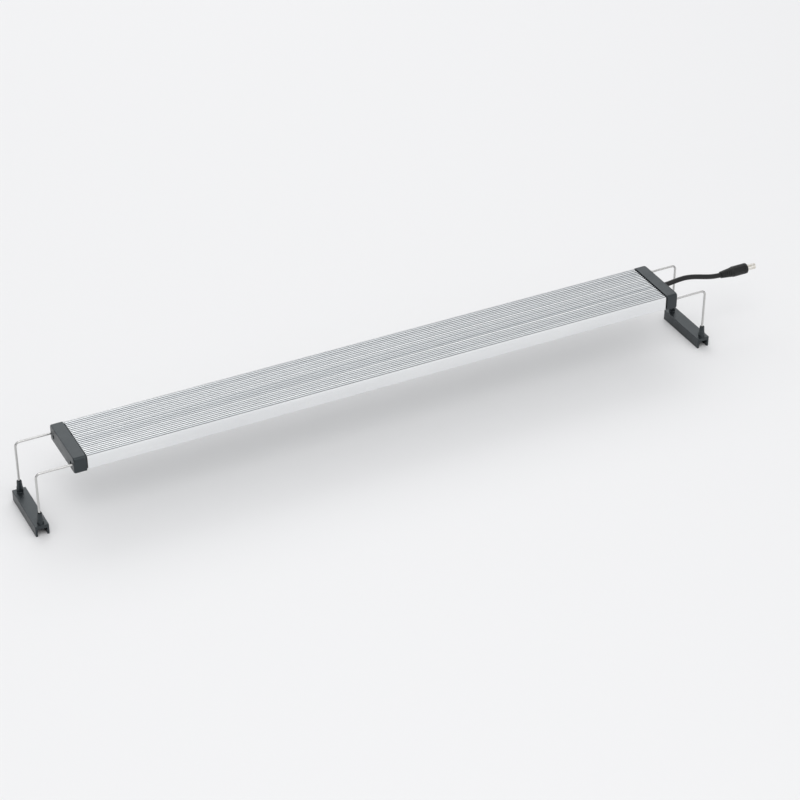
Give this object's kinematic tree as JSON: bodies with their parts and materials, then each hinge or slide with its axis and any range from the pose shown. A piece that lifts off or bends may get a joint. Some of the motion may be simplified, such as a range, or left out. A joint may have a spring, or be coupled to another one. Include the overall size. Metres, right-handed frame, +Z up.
{
  "type": "led aquarium light",
  "caption": "Flat ribbed aluminium LED light bar with dark end caps, on L-shaped wire rods that telescope from its ends into clips that straddle a tank's side panes.",
  "frame": {"origin": "centre of the light cover's outer (under) face, halfway along the bar and halfway across it", "axes": "+X along the bar towards the end where the cable leaves, +Y towards the rear, +Z up, out of the ribbed top"},
  "size_m": [0.7185, 0.0586, 0.0663],
  "materials": {
    "housing_aluminium": "satin anodised",
    "anthracite_plastic": "fine satin moulding",
    "rod_stainless": "bright drawn wire",
    "clear_cover": "clear",
    "silicone": "matte",
    "cable_jacket": "satin",
    "board_white": "solder mask",
    "thermal_pad": "matte",
    "led_package": "phosphor",
    "screw_steel": "plain",
    "plug_nickel": "plated",
    "red_insulation": "plain",
    "black_insulation": "plain"
  },
  "bodies": {
    "lamp": {"housing": "housing_aluminium", "light_cover": "clear_cover", "cover_seal_front": "silicone", "cover_seal_rear": "silicone", "thermal_pad": "thermal_pad", "led_board": "board_white", "led_01": "led_package", "led_02": "led_package", "led_03": "led_package", "led_04": "led_package", "led_05": "led_package", "led_06": "led_package", "led_07": "led_package", "led_08": "led_package", "led_09": "led_package", "led_10": "led_package", "led_11": "led_package", "led_12": "led_package", "led_13": "led_package", "led_14": "led_package", "led_15": "led_package", "led_16": "led_package", "led_17": "led_package", "led_18": "led_package", "led_19": "led_package", "led_20": "led_package", "left_end_cap": "anthracite_plastic", "right_end_cap": "anthracite_plastic", "left_gasket": "silicone", "right_gasket": "silicone", "left_rear_screw": "screw_steel", "left_front_screw": "screw_steel", "right_rear_screw": "screw_steel", "right_front_screw": "screw_steel", "cable": "cable_jacket", "cable_grommet": "silicone", "positive_wire": "red_insulation", "negative_wire": "black_insulation", "plug_body": "cable_jacket", "plug_barrel": "plug_nickel", "plug_insulator": "black_insulation"},
    "left_rear_rod": {"left_rear_rod": "rod_stainless"},
    "left_front_rod": {"left_front_rod": "rod_stainless"},
    "left_clip": {"left_clip": "anthracite_plastic"},
    "right_rear_rod": {"right_rear_rod": "rod_stainless"},
    "right_front_rod": {"right_front_rod": "rod_stainless"},
    "right_clip": {"right_clip": "anthracite_plastic"}
  },
  "joints": [
    {"name": "lift_off", "type": "slide", "parent": "left_clip", "child": "left_rear_rod", "axis": [0, 0, 1], "range_m": [0, 0.01]},
    {"name": "left_rear_rod_slide", "type": "slide", "parent": "left_rear_rod", "child": "lamp", "axis": [1, 0, 0], "range_m": [-0.026, 0.076]},
    {"name": "left_front_rod_slide", "type": "slide", "parent": "lamp", "child": "left_front_rod", "axis": [-1, 0, 0], "range_m": [-0.026, 0.076]},
    {"name": "right_rear_rod_slide", "type": "slide", "parent": "lamp", "child": "right_rear_rod", "axis": [1, 0, 0], "range_m": [-0.026, 0.076]},
    {"name": "right_front_rod_slide", "type": "slide", "parent": "lamp", "child": "right_front_rod", "axis": [1, 0, 0], "range_m": [-0.026, 0.076]},
    {"name": "right_clip_lift_off", "type": "slide", "parent": "right_rear_rod", "child": "right_clip", "axis": [0, 0, -1], "range_m": [0, 0.01]}
  ],
  "couplings": [
    {"joint": "left_front_rod_slide", "follows": "left_rear_rod_slide", "ratio": 1},
    {"joint": "right_front_rod_slide", "follows": "right_rear_rod_slide", "ratio": 1},
    {"joint": "right_clip_lift_off", "follows": "lift_off", "ratio": 1}
  ]
}
